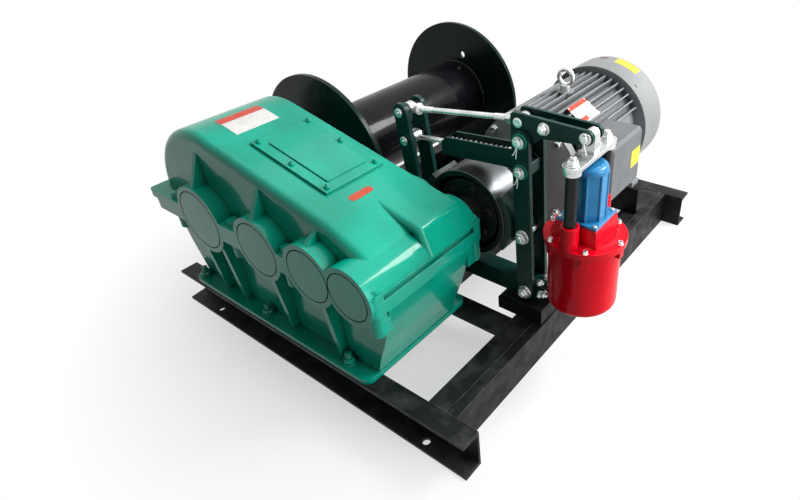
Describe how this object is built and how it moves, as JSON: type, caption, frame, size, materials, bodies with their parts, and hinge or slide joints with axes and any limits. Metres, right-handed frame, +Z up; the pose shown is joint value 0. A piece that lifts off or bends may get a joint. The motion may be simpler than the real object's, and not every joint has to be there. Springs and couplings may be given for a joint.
{
  "type": "electric mooring winch with spring-set drum brake",
  "caption": "Electric mooring winch: flanged rope drum, enclosed gearbox, finned motor and spring-set thruster brake on a welded channel frame.",
  "frame": {"origin": "middle of the base on the floor", "axes": "+X from the rope drum side to the motor side, +Y from the gearbox to the far rail, +Z up"},
  "size_m": [1.104, 1.15, 0.602],
  "materials": {
    "frame_paint": "satin black paint",
    "gearbox_paint": "gloss teal green enamel",
    "drum_paint": "satin dark green paint",
    "brake_paint": "satin dark green paint",
    "motor_paint": "satin grey paint",
    "bare_steel": "machined",
    "zinc": "zinc plated",
    "thruster_red": "gloss red enamel",
    "thruster_blue": "gloss blue enamel",
    "rod_black": "satin black",
    "lining": "moulded brake lining and painted shoe"
  },
  "bodies": {
    "frame": {"front_rail": "frame_paint", "rear_rail": "frame_paint", "right_rail": "frame_paint", "right_rail_closing_channel": "frame_paint", "middle_rail": "frame_paint", "left_rail": "frame_paint", "crossbars": "frame_paint", "motor_beds": "frame_paint", "gearbox_lower_case": "gearbox_paint", "gearbox_upper_case": "gearbox_paint", "gearbox_bearing_covers": "gearbox_paint", "inspection_cover": "gearbox_paint", "drum_pedestal": "drum_paint", "motor_frame": "motor_paint", "motor_feet": "motor_paint", "motor_end_shield": "motor_paint", "motor_fan_cover": "motor_paint", "motor_terminal_box": "motor_paint", "motor_eyebolt": "zinc", "brake_base": "brake_paint", "brake_blocks": "frame_paint"},
    "drum": {"drum_barrel": "drum_paint", "drum_near_flange": "drum_paint", "drum_far_flange": "drum_paint", "output_coupling": "drum_paint", "drum_shaft": "bare_steel"},
    "input": {"brake_wheel": "brake_paint", "input_shaft": "bare_steel"},
    "left_arm": {"left_arm_plates": "brake_paint", "left_shoe": "lining", "left_arm_pins": "zinc"},
    "right_arm": {"right_arm_plates": "brake_paint", "right_shoe": "lining", "right_arm_pins": "zinc"},
    "box": {"spring_box": "brake_paint", "brake_spring": "zinc"},
    "spring_rod": {"spring_rod": "zinc"},
    "tie_rod": {"tie_rod": "zinc"},
    "lever": {"lever_plates": "brake_paint", "lever_pins": "zinc"},
    "thruster": {"thruster_tank": "thruster_red", "thruster_cover": "thruster_red", "thruster_motor": "thruster_blue"},
    "crosshead": {"thruster_rods": "rod_black", "crosshead": "zinc"}
  },
  "joints": [
    {"name": "drum_spin", "type": "hinge", "parent": "frame", "child": "drum", "pos_m": [-0.268, 0.1, 0.344], "axis": [0, 1, 0], "continuous": true},
    {"name": "input_spin", "type": "hinge", "parent": "frame", "child": "input", "pos_m": [0.238, -0.162, 0.344], "axis": [0, 1, 0], "continuous": true},
    {"name": "thruster_stroke", "type": "slide", "parent": "thruster", "child": "crosshead", "axis": [0, 0, 1], "range_m": [0, 0.04], "stiffness_N_per_m": 1000, "springref_m": -0.15, "deforming": ["brake_spring"]},
    {"name": "thruster_swing", "type": "hinge", "parent": "frame", "child": "thruster", "pos_m": [0.517, -0.162, 0.176], "axis": [0, -1, 0], "range_deg": [0, 1.38]},
    {"name": "left_arm_pivot", "type": "hinge", "parent": "frame", "child": "left_arm", "pos_m": [0.087, -0.162, 0.171], "axis": [0, -1, 0], "range_deg": [0, 0.775]},
    {"name": "right_arm_pivot", "type": "hinge", "parent": "frame", "child": "right_arm", "pos_m": [0.389, -0.162, 0.171], "axis": [0, 1, 0], "range_deg": [0, 0.775]},
    {"name": "lever_pivot", "type": "hinge", "parent": "right_arm", "child": "lever", "pos_m": [0.378, -0.162, 0.548], "axis": [0, -1, 0], "range_deg": [0, 17.91]},
    {"name": "tie_rod_pivot", "type": "hinge", "parent": "lever", "child": "tie_rod", "pos_m": [0.366, -0.162, 0.582], "axis": [0, -1, 0], "range_deg": [-17.9, 0]},
    {"name": "spring_rod_pivot", "type": "hinge", "parent": "left_arm", "child": "spring_rod", "pos_m": [0.056, -0.162, 0.475], "axis": [0, -1, 0], "range_deg": [-0.708, 0]},
    {"name": "spring_box_pivot", "type": "hinge", "parent": "right_arm", "child": "box", "pos_m": [0.38, -0.162, 0.481], "axis": [0, -1, 0], "range_deg": [0, 0.841]}
  ],
  "couplings": [
    {"joint": "input_spin", "follows": "drum_spin", "ratio": -40.17},
    {"joint": "thruster_swing", "follows": "thruster_stroke", "rad_per_m": 0.6},
    {"joint": "left_arm_pivot", "follows": "thruster_stroke", "rad_per_m": 0.337},
    {"joint": "right_arm_pivot", "follows": "thruster_stroke", "rad_per_m": 0.337},
    {"joint": "lever_pivot", "follows": "thruster_stroke", "rad_per_m": 7.8},
    {"joint": "tie_rod_pivot", "follows": "thruster_stroke", "rad_per_m": -7.793},
    {"joint": "spring_rod_pivot", "follows": "thruster_stroke", "rad_per_m": -0.308},
    {"joint": "spring_box_pivot", "follows": "thruster_stroke", "rad_per_m": 0.366}
  ]
}
